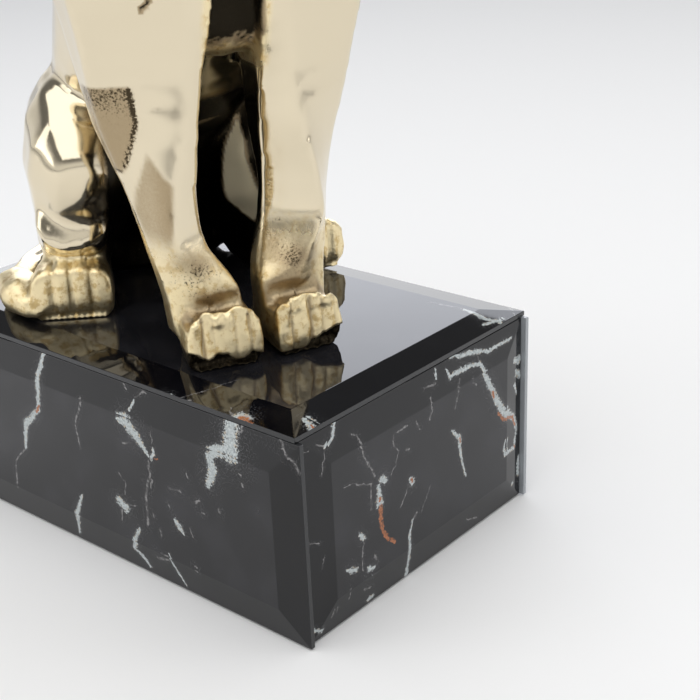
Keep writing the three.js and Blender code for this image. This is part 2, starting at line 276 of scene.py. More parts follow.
def hair_region(place):
    """1 on the mane and its locks, and 0 on the body."""
    x, y, z = place.T
    bib = ramp(z, 172, 190) * ramp(y, 24, 10)
    cape = ramp(z - 0.35 * y, 192, 204)
    return np.clip(bib + cape, 0, 1)


def face_region(place):
    x, y, z = place.T
    return ramp(y, -20, -30) * ramp(z, 236, 246) * ramp(abs(x), 40, 30) * ramp(z, 318, 308)


def forepaw_region(place):
    x, y, z = place.T
    return ramp(z, 46, 34) * ramp(y, 36, 26) * ramp(abs(x), 50, 44)


def hindpaw_region(place):
    x, y, z = place.T
    return ramp(z, 36, 28) * ramp(abs(x), 36, 42) * ramp(y, 170, 160)


def foreleg_region(place):
    x, y, z = place.T
    return ramp(y, 62, 50) * ramp(z, 196, 176) * (1 - forepaw_region(place))


place = lion_place(lion)
fine = np.clip(hair_region(place) + forepaw_region(place) + hindpaw_region(place), 0, 1)
body = (1 - fine) * (1 - foreleg_region(place))
smooth_skin(lion, 0.6 * body, 220)
smooth_skin(lion, 0.55 * (1 - fine) * ramp(place[:, 2], 40, 60), 26)
smooth_skin(lion, 0.55 * (1 - fine), 8)
smooth_skin(lion, 0.5 * np.ones(len(place)), 3)
print("body share of the skin", round(float(body.mean()), 2))

# %% [markdown]
# The forepaws, the face and the strip of small pits need more points than the rest. Their faces
# alone are split once, which keeps the whole casting under 200,000 triangles.

# %% Finer mesh on the forepaws, face and pits


def split_faces(piece, region):
    chosen = region(lion_place(piece)) > 0.4
    bm = bmesh.new()
    bm.from_mesh(piece.data)
    bm.verts.ensure_lookup_table()
    edges = [e for e in bm.edges if chosen[e.verts[0].index] and chosen[e.verts[1].index]]
    bmesh.ops.subdivide_edges(bm, edges=edges, cuts=1, use_grid_fill=True)
    bm.to_mesh(piece.data)
    bm.free()


def detailed_region(place):
    x, y, z = place.T
    pits = ramp(z, 57, 60) * ramp(z, 85, 82) * ramp(x, 10, 12) * ramp(x, 24, 22) * ramp(y, 42, 38)
    return np.maximum(np.maximum(forepaw_region(place), face_region(place)), pits)


split_faces(lion, detailed_region)
smooth_skin(lion, 0.4 * detailed_region(lion_place(lion)), 2)
print("skin now has", len(lion.data.polygons), "faces")

# %% [markdown]
# Each relief is a function of place in millimetres: how far to push a point along its normal.
# Grooves between toes, a ridge along their tops, the hollow behind it and the undercut below
# are what makes a paw read as four toes under a mitten of metal.

# %% Paws
# Toe grooves: place across (X), depth and half width, as they stand on each forepaw
TOE_GROOVES = [
    (-30.4, 1.5, 1.0), (-25.6, 0.5, 0.9), (-15.5, 0.7, 1.2), (-8.6, 1.3, 0.9),
    (11.9, 1.2, 0.8), (21.8, 1.5, 1.1), (27.6, 0.9, 1.0), (34.0, 0.6, 0.9),
]
# Lower rim of the toes' bright fronts: place across (X) and height
TOE_RIM = [
    (-40, 11), (-35, 10), (-30, 5.6), (-28, 6.4), (-25, 8.4), (-20, 7.6), (-16, 3.6), (-12, 4.6), (-8, 6.6),
    (-4, 5.0), (5, 2.6), (11, 3.0), (17, 2.2), (21, 4.6), (25, 7.2), (28, 7.8), (33, 9.4), (40, 10),
]


def forepaw_relief(place, normals, rough, chisel):
    x, y, z = place.T
    front = ramp(-normals[:, 1], 0.2, 0.75) * forepaw_region(place) * ramp(y, 16, 10)
    rim = np.interp(x + 0.5 * rough, *np.array(TOE_RIM).T)
    push = np.zeros(len(x))
    for across, depth, width in TOE_GROOVES:
        wander = across + 0.5 * np.sin(z / 2.9 + across)
        push -= depth * bump_at(x - wander, width) * front * ramp(z, 2, rim + 2) * ramp(z, 28.5, 25.5)
    # The front leans back a little towards the ridge, and is cut under below the rim
    push += front * (1.3 - 2.6 * np.clip((z - rim) / (25 - rim), 0, 1)) * ramp(z, rim - 1.0, rim + 0.6)
    push -= 3.2 * front * ramp(z, rim + 0.3, rim - 1.4)
    # Uneven flats, as left by a chisel
    push += 0.7 * front * chisel * ramp(z, 27, 24)
    # Ridge over the toes and the hollow behind it
    top = forepaw_region(place) * ramp(z, 19, 23)
    edge = 2.0 + 1.1 * np.sin(x / 2.6) + 0.6 * np.sin(x / 1.1 + 2)
    push += (1.2 + 0.6 * np.sin(x / 2.1 + 1)) * top * bump_at(y - edge, 1.6)
    hollow = ramp(y, edge + 1.8, edge + 4.5) * ramp(y, 17.5, 12) * ramp(z, 33, 28)
    push -= 3.0 * top * hollow * ramp(normals[:, 2], -0.1, 0.35)
    return push


# Middle, front and outward turn of the hind paws, as the solid has them, and the grooves between their toes
HINDPAW = (66.0, 96.0, math.radians(18))
HINDPAW_GROOVES = (-9.5, 0.2, 9.8)


def hindpaw_relief(place, normals):
    x, y, z = place.T
    middle, front, turn = HINDPAW
    from_middle = np.stack([abs(x) - middle, y - front], 1)
    across = math.cos(turn) * from_middle[:, 0] + math.sin(turn) * from_middle[:, 1]
    along = -math.sin(turn) * from_middle[:, 0] + math.cos(turn) * from_middle[:, 1]
    region = hindpaw_region(place) * ramp(along, 34, 22) * ramp(normals[:, 2] - normals[:, 1], 0.1, 0.6)
    push = np.zeros(len(x))
    for groove in HINDPAW_GROOVES:
        push -= 1.6 * bump_at(across - groove - 0.05 * along, 1.3) * region
    push -= 1.2 * region * bump_at(z - 3, 3)
    return push


print("toe grooves:", len(TOE_GROOVES), "on the forepaws,", 2 * len(HINDPAW_GROOVES), "on the hind paws")

# %% [markdown]
# The mane is a mass of locks, and each lock has strands that run along it.
# Round the face the strands run outwards like rays, and below and behind they hang down.

# %% Mane strands
STRAND_PITCH = 4.6
STRAND_HEIGHT = 0.5
FACE_MIDDLE_HEIGHT = 276.0


def mane_relief(place, wander):
    x, y, z = place.T
    round_neck = np.arctan2(x, -(y - 22)) * 52
    round_face = np.arctan2(z - FACE_MIDDLE_HEIGHT, x) * 40
    near_face = ramp(y, 8, -8) * ramp(np.hypot(x, z - FACE_MIDDLE_HEIGHT), 78, 66) * ramp(z, 225, 240)
    hanging = np.sin(2 * math.pi * (round_neck / STRAND_PITCH + 1.1 * wander))
    radiating = np.sin(2 * math.pi * (round_face / STRAND_PITCH + 1.1 * wander))
    strands = hanging * (1 - near_face) + radiating * near_face
    region = hair_region(place) * (1 - face_region(place)) * ramp(y, -40, -32)
    return STRAND_HEIGHT * region * strands


print("mane strands stand", STRAND_HEIGHT, "mm high at a pitch of", STRAND_PITCH, "mm")

# %% [markdown]
# The face is calm: lidded eyes, a broad nose with two nostrils, a mouth line and dots for whiskers.
# Eyes, nostrils and dots are pressed in on both sides by one loop, as on a modelled head.

# %% Face
# Places on the face: across (X) and height, and for each row of whisker dots its height and start along (Y)
EYE = (15.5, 284.0)
NOSTRIL = (4.6, 269.4)
WHISKER_ROWS = [(265.5, 45), (262.0, 44), (258.8, 46)]
WHISKER_DOTS = 4


def eye_relief(x, z, side, ahead):
    dx = (x - side * EYE[0]) * side
    dz = z - EYE[1] + 0.12 * dx
    around = np.hypot(dx / 7.6, dz / 4.7)
    rim = 0.7 * bump_at(around - 1.32, 0.16) - 0.9 * bump_at(around - 1.0, 0.13)
    return (rim - 0.8 * bump_at(np.hypot(dx, dz), 1.7)) * ahead


def face_relief(place):
    x, y, z = place.T
    push = np.zeros(len(x))
    ahead = ramp(y, -28, -32)
    for side in (-1, 1):
        push += eye_relief(x, z, side, ahead)
        from_nostril = np.hypot(x - side * NOSTRIL[0], (z - NOSTRIL[1]) * 1.3)
        push -= 1.5 * bump_at(from_nostril, 1.7) * ramp(y, -56, -62)
        for height, start in WHISKER_ROWS:
            for dot in range(WHISKER_DOTS):
                from_dot = np.hypot(y + start + 3.4 * dot, z - height + 0.35 * dot)
                push -= 0.5 * bump_at(from_dot, 0.75) * ramp(abs(x), 10, 13)
        # The line beside the bridge of the nose, up to the brow
        push -= 0.5 * bump_at(abs(x) - 6.2 - 0.25 * (z - 285), 0.9) * ramp(z, 282, 286) * ramp(z, 304, 298)
    mouth = ramp(y, -52, -58) * ramp(z, 270, 267) * ramp(z, 256, 258)
    push -= 0.9 * bump_at(x, 0.7) * mouth
    return push * face_region(place)


print("whisker dots:", 2 * len(WHISKER_ROWS) * WHISKER_DOTS)

# %% [markdown]
# The planed forelegs are smooth, but for a row of small pits down the left one's inner edge,
# where the casting was closed. All the lion's surfaces have the slight waviness of hand polishing.
# A sum of two soft noises gives it, as one noise alone would look like regular ripples.

# %% Forelegs and waviness
# Pits on the left foreleg, seen from the front: across (X) and height
LEG_PITS = [
    (17.0, 80.2), (17.0, 77.5), (16.9, 75.0), (16.9, 72.6),
    (16.8, 70.3), (16.6, 68.2), (16.4, 65.8), (16.0, 62.8),
]


def foreleg_relief(place):
    x, y, z = place.T
    push = np.zeros(len(x))
    for across, height in LEG_PITS:
        push -= 0.4 * bump_at(np.hypot((x - across) / 1.5, z - height), 0.8) * ramp(y, 40, 35) * ramp(x, 5, 9)
    return push


def waviness(place):
    return 0.20 * grain(place, 21) + 0.10 * grain(place, 9, 3.7)


print("small pits on the left foreleg:", len(LEG_PITS))

# %% [markdown]
# All reliefs are added up before the skin is moved, once, so that none of them works on the other's
# marks. The soles stay flat on the slab. Every point is kept inside the solid's own box, so the
# dressed lion is no larger than its solid.

# %% Relief pushed into the skin
place, normals = lion_place(lion), lion_normals(lion)
wander = grain(place, 16, 1.3)
rough = grain(place, 2.6, 5.1)
smooth_share = 1 - np.clip(hair_region(place) + face_region(place), 0, 1)
chisel = grain(place * (1.0, 1.0, 0.45), 4.5, 6.4)
push = forepaw_relief(place, normals, rough, chisel) + hindpaw_relief(place, normals)
push += mane_relief(place, wander) + face_relief(place) + foreleg_relief(place)
push += smooth_share * waviness(place)
push += 0.16 * rough * np.maximum(forepaw_region(place), hindpaw_region(place))
standing = ramp(place[:, 2], 0.2, 2.5)
low, high = (np.array(corner, float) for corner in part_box("lion"))
moved = read_points(lion) + (push * standing * MM)[:, None] * read_normals(lion)
write_points(lion, np.clip(moved, low + 0.02 * MM, high - 0.02 * MM))
print("relief reaches from", round(float(push.min()), 2), "to", round(float(push.max()), 2), "mm")

# %% [markdown]
# Brass in hollows keeps its rough cast skin and a brown patina, while what stands proud is polished.
# Four numbers are stored at each point, cast, patina, grime and matte, and the material mixes by them.
# Patina and grime also carry painted shade and painted dark reflections, and matte a patch of painted light.
# Some patches have a drawn border, so this cell has a test for a point inside an outline.

# %% Patches drawn on the metal


def in_patch(u, v, outline, soft):
    """1 inside an outline of points, 0 outside, over a soft border in millimetres."""
    outline = np.array(outline, float)
    nearest = np.full(len(u), 1e9)
    inside = np.zeros(len(u), bool)
    for (u0, v0), (u1, v1) in zip(outline, np.roll(outline, -1, 0)):
        du, dv = u1 - u0, v1 - v0
        t = np.clip(((u - u0) * du + (v - v0) * dv) / (du * du + dv * dv), 0, 1)
        nearest = np.minimum(nearest, np.hypot(u - u0 - t * du, v - v0 - t * dv))
        crosses = (v0 > v) != (v1 > v)
        inside ^= crosses & (u < u0 + (v - v0) * du / (dv if dv else 1e-9))
    return ramp(np.where(inside, nearest, -nearest), -soft, soft)


def spot(across, height, half_width, half_height):
    """An oval spot seen from the front: 1 in its middle, fading outwards."""
    return bump_at(np.hypot((x - across) / half_width, (z - height) / half_height), 1.0)


# Outlines of painted dark reflections on the right foreleg seen from the front, across (X) and height
DARK_PATCH_HIGH = [(-62, 127), (-45.5, 127), (-43.7, 111), (-45.4, 104), (-48.8, 90), (-54, 86), (-62, 92)]
DARK_PATCH_LOW = [
    (-41.5, 98), (-38.6, 92), (-36.6, 87.4), (-33.6, 84), (-35, 68),
    (-36.5, 56), (-41, 46), (-48, 58), (-46.5, 80),
]
DARK_MARK = [(-41, 160), (-38.5, 163), (-35.5, 165), (-37, 161), (-40, 158)]
# Outline of a patch of painted light on the inside of the left hind leg seen from the side, along (Y) and
# height
BRIGHT_LENS = [
    (104, 90), (110, 79), (117, 64), (121, 52), (123, 40),
    (122, 33), (116, 28), (104, 40), (100, 64), (99.6, 77),
]

place, normals = lion_place(lion), lion_normals(lion)
x, y, z = place.T
rough = grain(place, 2.2, 8.3)
clouds = grain(place, 9, 2.9)
forward = ramp(-normals[:, 1], 0.1, 0.4)
on_forepaw = forepaw_region(place)
print("points that face forward:", int((forward > 0.5).sum()))

# %% [markdown]
# The founder leaves the cast skin where no wheel reaches: paws, ankles, the web between the
# forelegs and a patch inside the left hind leg. That patch is rough, and its pale colour is painted light.

# %% Cast skin
paws = np.maximum(on_forepaw * ramp(y, 30, 20), hindpaw_region(place))
ankle = ramp(z + 5 * rough + 4 * clouds, 66, 44) * ramp(y, 44, 34) * ramp(abs(x), 50, 44)
web = ramp(abs(x), 17, 13) * ramp(y, 62, 52) * ramp(z, 124, 132) * ramp(z, 168, 160)
inner_thigh = ramp(y, 84, 92) * ramp(abs(x), 48, 42) * ramp(z, 120, 104)
# The lens marks the patch of painted light inside the left hind leg
lens = in_patch(y, z, BRIGHT_LENS, 1.2) * (x > 8) * inner_thigh
cast = np.maximum.reduce([paws, 0.7 * ankle, web, lens])
print("cast share", round(float(cast.mean()), 2))

# %% [markdown]
# Patina is a film that deepens from an even brown to black. It lies behind and below the toes and on the
# ankles.
# The same film paints dark reflections in two drawn patches and a mark on the right foreleg, and painted
# shade and dark reflection on the web's upper part and inside the thighs.

# %% Patina and painted shade
# Painted dark reflections: two drawn patches and a mark on the right foreleg
high = in_patch(x, z, DARK_PATCH_HIGH, 1.0) * (x < 0) * ramp(y, 50, 40)
low = in_patch(x, z, DARK_PATCH_LOW, 1.2) * (x < 0) * forward
patina_and_shade = 0.40 * high + (0.30 + 0.10 * ramp(x, -42, -36)) * low * ramp(z, 50, 64)
patina_and_shade += 0.9 * in_patch(x, z, DARK_MARK, 0.6) * (x < 0) * forward
# Painted shade and dark reflection on the web's upper part, between the forelegs
web_top = ramp(abs(x - 1) + 2.5 * clouds, 14, 10) * ramp(z + 4 * rough + 3 * clouds, 138, 146)
patina_and_shade += 0.95 * web_top * ramp(z, 170, 164) * ramp(y, 45, 38)
# Painted shade inside the thighs, all but the pale patch
patina_and_shade += 0.9 * (inner_thigh - lens).clip(0, 1) * (x > -48)
paw_hollow = on_forepaw * ramp(y, 3, 6) * ramp(y, 22, 12) * ramp(z, 38, 29) * ramp(z, 18, 22)
patina_and_shade += (0.46 + 0.25 * clouds) * paw_hollow
rim_height = np.interp(x, *np.array(TOE_RIM).T)
patina_and_shade += 0.85 * on_forepaw * ramp(z, rim_height + 0.6, rim_height - 0.8)
toe_fronts = on_forepaw * ramp(y, 6, 3) * ramp(z, 27, 25)
for across, depth, width in TOE_GROOVES:
    patina_and_shade += 0.4 * depth / 1.5 * bump_at(x - across, 0.8 * width) * toe_fronts
ankle_film = (x > 0) * spot(21, 42, 14, 12) + (x < 0) * spot(-26, 46, 11, 9)
patina_and_shade += (0.34 + 0.16 * clouds) * ankle_film * ramp(y, 42, 34)
print("dark share", round(float((patina_and_shade > 0.4).mean()), 2))

# %% [markdown]
# Grime is what a polishing wheel leaves behind where it stops: black grains on the ankles, in the hollows
# behind the toes, and in the small pits. The black grains round the upper patch on the right foreleg and over
# its upper part are painted dark reflection, like the patch.

# %% Grime and painted dark reflection
# Painted dark reflection: a grainy black border round the upper patch, and grains over its upper part
border = (high * (1 - in_patch(x, z, np.array(DARK_PATCH_HIGH) + (-1.8, 0.4), 1.0))).clip(0, 1)
grime_and_shade = 0.9 * border + 0.55 * high * ramp(z, 104, 124)
right_ankle = (x < 0) * spot(-27, 41, 12, 8)
left_ankle = (x > 0) * np.maximum(spot(20, 44, 6, 9), 0.8 * spot(19, 57, 7, 3))
grime_and_shade += (0.60 * right_ankle + 0.55 * left_ankle) * ramp(y, 40, 32) * (0.9 + 0.5 * clouds)
grime_and_shade += 0.25 * paw_hollow + 0.35 * web * ramp(z, 140, 130)
for across, height in LEG_PITS:
    grime_and_shade += 0.75 * spot(across, height, 1.28, 0.56) * ramp(y, 40, 35) * (x > 8)

# Patina and grime also carry painted shade and dark reflections, and matte the painted light inside the left
# hind leg
for name, values in (("cast", cast), ("patina_and_shade", patina_and_shade), ("grime_and_shade", grime_and_shade), ("matte_and_light", lens)):
    lion.data.attributes.new(name, "FLOAT", "POINT")
    lion.data.attributes[name].data.foreach_set("value", np.clip(values, 0, 1).astype(np.float32))
print("grimy share", round(float((grime_and_shade > 0.2).mean()), 3))

# %% [markdown]
# Polished brass is a metal with a pale warm colour and low roughness. The cast skin is the same metal,
# yellower and rougher, with a fine grain. Patina is a film that goes from brown to nearly black, and its
# colours also paint shade and dark reflections. Grime sits in the pores, so the noise decides which specks of
# it are left;
# round the foreleg patch its black is painted reflection. The matte patch inside the left hind leg is painted
# pale, as painted light.

# %% Brass
POLISHED = (0.75, 0.66, 0.49, 1)
CAST = (0.90, 0.76, 0.47, 1)
CAST_DEEP = (0.66, 0.49, 0.23, 1)
# Painted light: the pale tone of the lit patch inside the left hind leg
PAINTED_LIGHT = (0.97, 0.90, 0.70, 1)
# Patina colours, also used for painted shade and painted dark reflections
BROWN_FILM_AND_SHADE = (0.40, 0.31, 0.19, 1)
BLACK_FILM_AND_SHADE = (0.022, 0.018, 0.012, 1)
# Grime colour, also used for the painted reflection round the foreleg patch
GRIME_AND_SHADE = (0.06, 0.045, 0.026, 1)


def brass_colour(tree, place, cast, matte_and_light, film_and_shade, dark):
    mottled = ranged(tree, noise_at(tree, place, 190.0, detail=5.0, roughness=0.65), 0.48, 0.64)
    warm = mixed(tree, cast, POLISHED, CAST)
    warm = mixed(tree, maths(tree, "MULTIPLY", mottled, cast), warm, CAST_DEEP)
    # Painted light on the patch inside the left hind leg
    warm = mixed(tree, matte_and_light, warm, PAINTED_LIGHT)
    # Patina, and also painted shade and painted dark reflections
    warm = mixed(tree, ranged(tree, film_and_shade, 0.0, 0.42), warm, BROWN_FILM_AND_SHADE)
    warm = mixed(tree, ranged(tree, film_and_shade, 0.38, 0.9), warm, BLACK_FILM_AND_SHADE)
    # Grime, and the painted reflection round the foreleg patch
    return mixed(tree, dark, warm, GRIME_AND_SHADE)


def brass_roughness(tree, place, cast, matte_and_light, film_and_shade):
    rough = maths(tree, "MULTIPLY_ADD", cast, 0.20, 0.12)
    rough = maths(tree, "MULTIPLY_ADD", matte_and_light, 0.40, rough)
    rough = maths(tree, "MULTIPLY_ADD", film_and_shade, 0.15, rough)
    return maths(tree, "MULTIPLY_ADD", noise_at(tree, place, 60.0, detail=2.0), 0.05, rough)


def brass_grain(tree, place, where):
    bump = add_node(tree, "ShaderNodeBump", {"Strength": 0.55, "Distance": 0.0004})
    pits = noise_at(tree, place, 650.0, detail=4.0, roughness=0.65)
    tree.links.new(maths(tree, "MULTIPLY", pits, where), bump.inputs["Height"])
    return bump.outputs["Normal"]


def brass_material():
    material, tree, shader = new_material("polished_brass", Metallic=1.0, Roughness=0.12)
    place = object_place(tree)
    # Patina and grime also carry painted shade and dark reflections, and matte painted light
    cast, patina_and_shade, grime_and_shade, matte_and_light = (
        add_node(tree, "ShaderNodeAttribute", attribute_name=name).outputs["Fac"]
        for name in ("cast", "patina_and_shade", "grime_and_shade", "matte_and_light")
    )
    fine = noise_at(tree, place, 900.0, detail=3.0, roughness=0.6)
    specks = maths(tree, "ADD", maths(tree, "MULTIPLY", grime_and_shade, 0.6), fine)
    dark = maths(tree, "MULTIPLY", ranged(tree, specks, 0.72, 0.98), ranged(tree, grime_and_shade, 0.02, 0.15))
    uneven = maths(tree, "MULTIPLY", patina_and_shade, 0.5)
    film_and_shade = maths(tree, "MULTIPLY_ADD", maths(tree, "ADD", fine, -0.5), uneven, patina_and_shade)
    rough = brass_roughness(tree, place, cast, matte_and_light, maths(tree, "MAXIMUM", dark, patina_and_shade))
    tree.links.new(brass_colour(tree, place, cast, matte_and_light, film_and_shade, dark), shader.inputs["Base Color"])
    tree.links.new(rough, shader.inputs["Roughness"])
    tree.links.new(brass_grain(tree, place, maths(tree, "MAXIMUM", cast, grime_and_shade)), shader.inputs["Normal"])
    return material


lion.data.polygons.foreach_set("use_smooth", np.ones(len(lion.data.polygons), bool))
lion.data.materials.clear()
lion.data.materials.append(brass_material())
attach(lion, "root")
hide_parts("lion")
print("lion casting has", sum(len(p.vertices) - 2 for p in lion.data.polygons), "triangles")

# %% [markdown]
# The plinth is boxed in with bevelled glass panels, and a black marble is printed behind the glass.
# Real marble has a few bold white veins, many hairlines and some rust stains, so each face has its
# own drawn strokes. A stroke is a segment with a half width at each end, in millimetres on the face.
# One node group gives 1 on the middle of a stroke and 0 at its edge, so strokes of any width mix alike.

# %% A vein stroke as a node group


def stroke_group():
    group = bpy.data.node_groups.new("vein_stroke", "ShaderNodeTree")
    for name in ("Place", "Start", "End"):
        group.interface.new_socket(name, in_out="INPUT", socket_type="NodeSocketVector")
    for name in ("Start Width", "End Width"):
        group.interface.new_socket(name, in_out="INPUT", socket_type="NodeSocketFloat")
    group.interface.new_socket("Depth", in_out="OUTPUT", socket_type="NodeSocketFloat")
    given, result = group.nodes.new("NodeGroupInput"), group.nodes.new("NodeGroupOutput")

    def vector(operation, *values):
        node = group.nodes.new("ShaderNodeVectorMath")
        node.operation = operation
        for socket, value in enumerate(values):
            group.links.new(value, node.inputs[socket])
        return node

    start, end, point = given.outputs["Start"], given.outputs["End"], given.outputs["Place"]
    along = vector("SUBTRACT", end, start).outputs[0]
    reach = vector("SUBTRACT", point, start).outputs[0]
    share = maths(group, "DIVIDE", vector("DOT_PRODUCT", reach, along).outputs["Value"],
                  vector("DOT_PRODUCT", along, along).outputs["Value"], clamp=True)
    scaled = vector("SCALE", along)
    group.links.new(share, scaled.inputs["Scale"])
    nearest = vector("ADD", start, scaled.outputs[0]).outputs[0]
    distance = vector("DISTANCE", point, nearest).outputs["Value"]
    spread = maths(group, "SUBTRACT", given.outputs["End Width"], given.outputs["Start Width"])
    width = maths(group, "MULTIPLY_ADD", share, spread, given.outputs["Start Width"])
    depth = maths(group, "SUBTRACT", 1.0, maths(group, "DIVIDE", distance, width))
    group.links.new(depth, result.inputs["Depth"])
    return group


VEIN_STROKE = stroke_group()


def stroke_field(tree, place, lines):
    """The deepest of all strokes of these lines, 1 on a stroke's middle and below 0 outside."""
    field = None
    for line in lines:
        for (u0, v0, w0), (u1, v1, w1) in zip(line, line[1:]):
            node = add_node(tree, "ShaderNodeGroup", node_tree=VEIN_STROKE)
            tree.links.new(place, node.inputs["Place"])
            node.inputs["Start"].default_value = (u0, v0, 0)
            node.inputs["End"].default_value = (u1, v1, 0)
            node.inputs["Start Width"].default_value = w0
            node.inputs["End Width"].default_value = w1
            depth = node.outputs["Depth"]
            field = depth if field is None else maths(tree, "MAXIMUM", field, depth)
    return field


print("vein stroke group has", len(VEIN_STROKE.nodes), "nodes")

# %% [markdown]
# These are the strokes of the two short faces: across, up, and half width, all in millimetres from
# the face's middle line and the floor. White ones are bold, hairlines are thin and grey, and rust is
# iron in the stone. They are placed one by one, because a noise alone never looks like this stone.

# %% Veins of the short face
SHORT_WHITE = [
    [(43.9, 88.8, 0.9), (50.4, 78.3, 1.4), (59.0, 63.3, 1.7), (65.8, 54.6, 1.8), (73.8, 47.7, 1.4),
     (75.9, 40.7, 0.9), (73.1, 31.9, 0.9), (65.2, 32.2, 0.8), (64.1, 37.0, 0.6), (65.6, 41.2, 0.4)],
    [(18.5, 100.3, 0.6), (32.3, 96.4, 0.8), (43.0, 94.8, 0.8), (50.3, 91.9, 0.7), (67.2, 91.7, 0.6),
     (70.1, 92.0, 0.4)],
    [(18.4, 94.3, 0.5), (20.1, 89.8, 0.8), (27.9, 90.2, 1.0), (37.6, 89.4, 0.9), (43.9, 88.2, 0.9)],
    [(10.9, 97.1, 0.5), (9.9, 93.1, 0.6)],
    [(19.7, 64.5, 0.5), (25.8, 58.5, 1.3), (26.3, 51.9, 0.8), (28.3, 42.7, 0.6), (31.0, 35.3, 0.4)],
    [(-61.0, 102.4, 0.5), (-60.6, 98.2, 0.6), (-63.0, 93.5, 0.8), (-66.7, 90.5, 0.5)],
    [(-33.6, 62.5, 1.4), (-31.2, 60.9, 1.4)],
    [(-35.8, 59.9, 1.0), (-35.4, 50.8, 1.9)],
    [(-12.6, 53.4, 1.0), (-11.4, 51.0, 1.3)],
    [(-49.7, 41.5, 1.0), (-47.3, 38.7, 1.1)],
    [(-60.0, 28.2, 0.5), (-56.3, 26.8, 1.3), (-53.1, 25.8, 0.9)],
    [(-44.4, 21.3, 1.3), (-41.3, 20.6, 1.0)],
    [(-42.9, 5.9, 1.1), (-40.5, 5.8, 0.9)],
    [(-11.8, 31.1, 0.5), (-14.6, 23.6, 0.7), (-14.4, 12.9, 0.9), (-14.7, 4.1, 1.0)],
    [(73.2, 80.4, 1.2), (78.1, 79.2, 1.8)],
    [(75.3, 73.1, 1.4), (79.3, 69.8, 1.4)],
    [(73.4, 67.2, 0.8), (75.5, 61.6, 0.5)],
    [(79.3, 23.5, 1.1), (78.9, 16.7, 1.8)],
    [(72.4, 13.9, 0.8), (71.4, 13.1, 0.6)],
    [(-78.9, 9.6, 0.8), (-73.9, 7.4, 0.9)],
]
SHORT_HAIRLINES = [
    [(27.0, 86.6, 0.5), (24.3, 80.3, 0.7), (22.5, 74.8, 0.4)],
    [(0.8, 91.6, 0.5), (9.1, 91.2, 0.6)],
    [(3.9, 86.0, 0.4), (4.7, 81.3, 0.5), (2.9, 77.6, 0.6)],
    [(-21.3, 81.1, 0.5), (-14.1, 81.4, 0.6)],
    [(-7.7, 80.6, 0.5), (-5.1, 75.9, 0.6)],
    [(-24.4, 80.6, 0.4), (-24.3, 75.6, 0.5), (-20.9, 70.9, 0.4), (-23.5, 65.4, 0.3), (-26.8, 61.4, 0.3)],
    [(-51.8, 89.9, 0.4), (-48.2, 88.4, 0.5), (-45.7, 80.5, 0.7), (-38.2, 66.2, 0.5)],
    [(-66.7, 90.5, 0.4), (-70.2, 80.7, 0.3)],
    [(-71.3, 93.5, 0.4), (-66.7, 91.0, 0.4)],
    [(-41.5, 62.7, 0.5), (-41.3, 50.8, 0.6)],
    [(-59.6, 69.8, 0.3), (-53.8, 69.1, 0.4), (-40.7, 63.2, 0.4)],
    [(-14.4, 51.3, 0.4), (-20.4, 42.1, 0.4)],
    [(-8.4, 33.5, 0.5), (-11.8, 31.1, 0.5)],
    [(-47.3, 38.1, 0.4), (-48.8, 30.4, 0.5), (-49.0, 22.5, 0.4)],
    [(-40.3, 26.0, 0.7), (-38.1, 22.1, 0.6)],
    [(-47.2, 13.5, 0.7), (-42.5, 12.2, 0.7)],
    [(-57.6, 17.9, 0.4), (-58.6, 14.4, 0.4)],
    [(-66.1, 14.5, 0.4), (-67.5, 10.7, 0.4)],
    [(32.7, 12.8, 0.3), (34.5, 10.7, 0.4), (43.0, 8.1, 0.5)],
    [(-81.3, 53.1, 0.3), (-72.7, 49.2, 0.4)],
    [(-85.6, 93.1, 0.3), (-76.2, 93.0, 0.4)],
    [(43.0, 94.8, 0.5), (43.9, 88.8, 0.6), (41.2, 87.5, 0.5)],
    [(16.9, 104.2, 0.5), (22.0, 100.7, 0.5)],
    [(37.6, 83.2, 0.5), (40.3, 80.4, 0.4)],
    [(-15.4, 69.6, 0.5), (-13.0, 68.4, 0.5)],
    [(2.0, 42.7, 0.25), (-5.1, 32.0, 0.25)],
    [(-71.9, 36.6, 0.3), (-70.8, 41.6, 0.3)],
]
SHORT_RUST = [
    [(53.8, 71.8, 1.0), (55.1, 68.6, 0.9)],
    [(59.0, 58.5, 0.9), (62.9, 53.9, 0.9), (70.8, 50.1, 1.2), (74.3, 44.4, 0.7)],
    [(73.1, 33.1, 0.5), (73.7, 31.6, 0.5)],
    [(-35.0, 49.0, 1.5), (-35.0, 41.6, 1.5), (-33.5, 35.8, 1.2), (-30.6, 30.4, 1.2), (-25.5, 26.1, 1.1)],
    [(-35.4, 54.0, 0.9), (-35.1, 52.2, 0.9)],
    [(26.0, 57.8, 0.7), (26.3, 56.0, 0.6)],
    [(-12.1, 52.9, 0.8), (-11.6, 51.4, 0.7)],
]
print("short face:", len(SHORT_WHITE), "bold lines and", len(SHORT_HAIRLINES), "hairlines")

# %% [markdown]
# The long faces carry the same kinds of stroke. Across is now along the plinth, and negative is in front.

